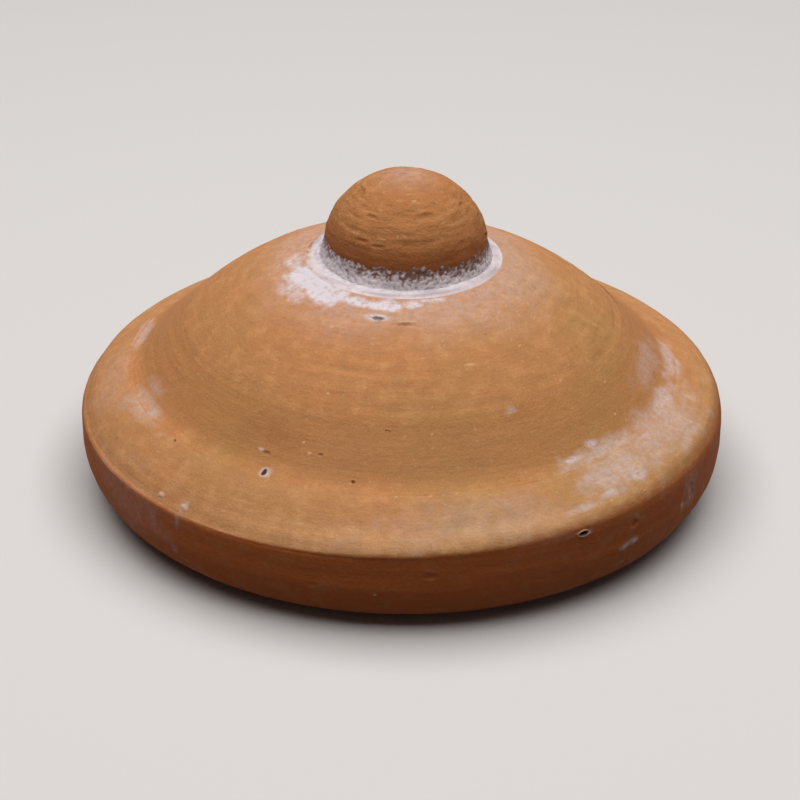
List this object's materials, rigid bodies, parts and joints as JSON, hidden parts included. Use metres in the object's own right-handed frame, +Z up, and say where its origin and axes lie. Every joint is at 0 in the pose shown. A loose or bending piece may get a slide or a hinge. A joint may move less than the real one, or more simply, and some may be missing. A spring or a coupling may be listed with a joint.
{
  "type": "tagine pot",
  "caption": "Low unglazed earthenware tagine: round dish with a broad sloping brim and an inner gallery, a lift-off domed lid, and a ball knob bedded in white lime.",
  "frame": {"origin": "centre of the dish's flat foot, on the surface that the pot stands on", "axes": "+Z up along the turning axis; +X to the right and +Y away from the viewer, as the picture shows the pot"},
  "size_m": [0.28, 0.28, 0.1416],
  "materials": {
    "dish_earthenware": "unglazed ochre earthenware, thrown and sponged, matt",
    "lid_earthenware": "unglazed ochre earthenware, thrown and wiped, matt",
    "knob_earthenware": "unglazed coarse ochre earthenware, wiped, matt",
    "lime_luting": "powdery white lime slip"
  },
  "bodies": {
    "dish": {"base_dish": "dish_earthenware"},
    "lid": {"lid_dome": "lid_earthenware", "knob": "knob_earthenware", "knob_collar": "lime_luting"}
  },
  "joints": [
    {"name": "lid_lift", "type": "slide", "parent": "dish", "child": "lid", "axis": [0, 0, 1], "range_m": [0, 0.15]}
  ]
}
